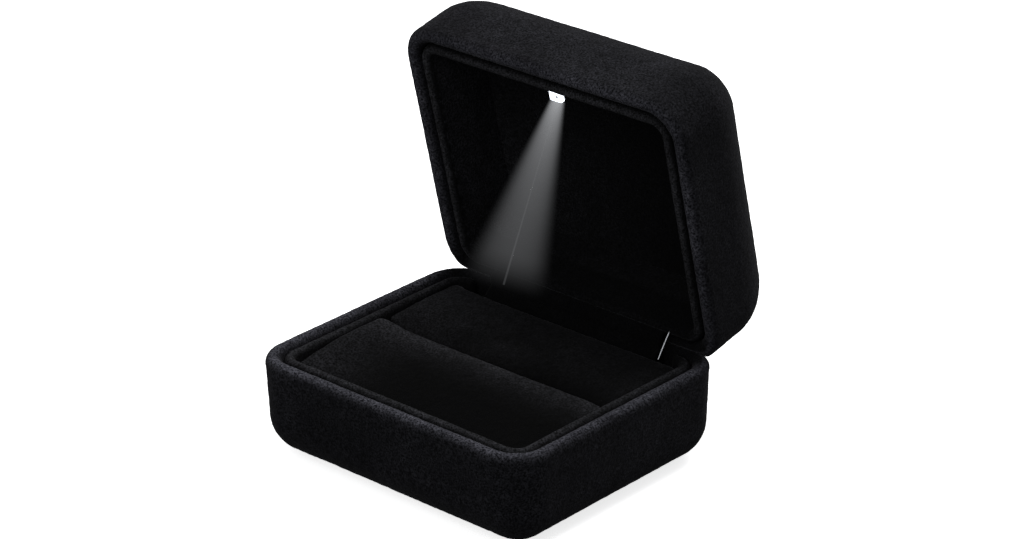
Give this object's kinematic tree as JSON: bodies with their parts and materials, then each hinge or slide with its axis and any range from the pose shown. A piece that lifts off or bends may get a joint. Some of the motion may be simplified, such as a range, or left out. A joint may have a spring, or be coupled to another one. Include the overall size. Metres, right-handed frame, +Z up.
{
  "type": "ring box",
  "caption": "Black velvet ring box with a hinged lid, a padded ring slot and a small light in the lid that comes on when the box is opened; shown open.",
  "frame": {"origin": "centre of the sole's underside, on the surface the box stands on", "axes": "+X to the box's right as seen from the front, +Y towards the hinge, +Z up; the closed box is 60 x 50 x 38 mm along X, Y and Z"},
  "size_m": [0.06, 0.0651, 0.0669],
  "materials": {
    "velvet": "black flocked velvet, short dense pile, slight sheen",
    "shell_plastic": "black injection-moulded polystyrene",
    "sole_card": "black flocked card",
    "grey_card": "grey pasteboard",
    "foam": "charcoal open-cell foam",
    "plated_steel": "nickel-plated mild steel",
    "spring_steel": "bright drawn spring steel",
    "lit_lens": "clear epoxy lens, lit cool white",
    "white_plastic": "white moulded plastic",
    "red_insulation": "red PVC insulation",
    "black_insulation": "black PVC insulation",
    "circuit_laminate": "green glass-epoxy laminate",
    "resistor_body": "tan lacquered resistor body",
    "cell_case": "stainless coin-cell case",
    "contact_brass": "sheet brass"
  },
  "bodies": {
    "base": {"base_cover": "velvet", "base_shell": "shell_plastic", "base_sole": "sole_card", "base_collar": "grey_card", "base_collar_cover": "velvet", "front_pad_foam": "foam", "front_pad_cover": "velvet", "rear_pad_foam": "foam", "rear_pad_cover": "velvet", "hinge_base_leaf": "plated_steel", "base_leaf_rivets": "plated_steel", "hinge_pin": "plated_steel", "hinge_detent_springs": "spring_steel", "hinge_flap": "velvet"},
    "lid": {"lid_cover": "velvet", "lid_shell": "shell_plastic", "lid_collar": "grey_card", "lid_collar_cover": "velvet", "lid_liner": "velvet", "lid_liner_board": "grey_card", "hinge_lid_leaf": "plated_steel", "lid_leaf_rivets": "plated_steel", "led_lens": "lit_lens", "led_holder": "white_plastic", "led_lead_red": "red_insulation", "led_lead_black": "black_insulation", "circuit_board": "circuit_laminate", "resistor": "resistor_body", "board_screws": "plated_steel", "battery_holder": "shell_plastic", "coin_cells": "cell_case", "battery_contacts": "contact_brass", "switch_wire": "spring_steel", "switch_terminal": "contact_brass"}
  },
  "joints": [
    {"name": "lid_hinge", "type": "hinge", "parent": "base", "child": "lid", "pos_m": [0, 0.02275, 0.0183], "axis": [1, 0, 0], "range_deg": [0, 77.5], "deforming": ["hinge_flap", "switch_wire"]}
  ]
}
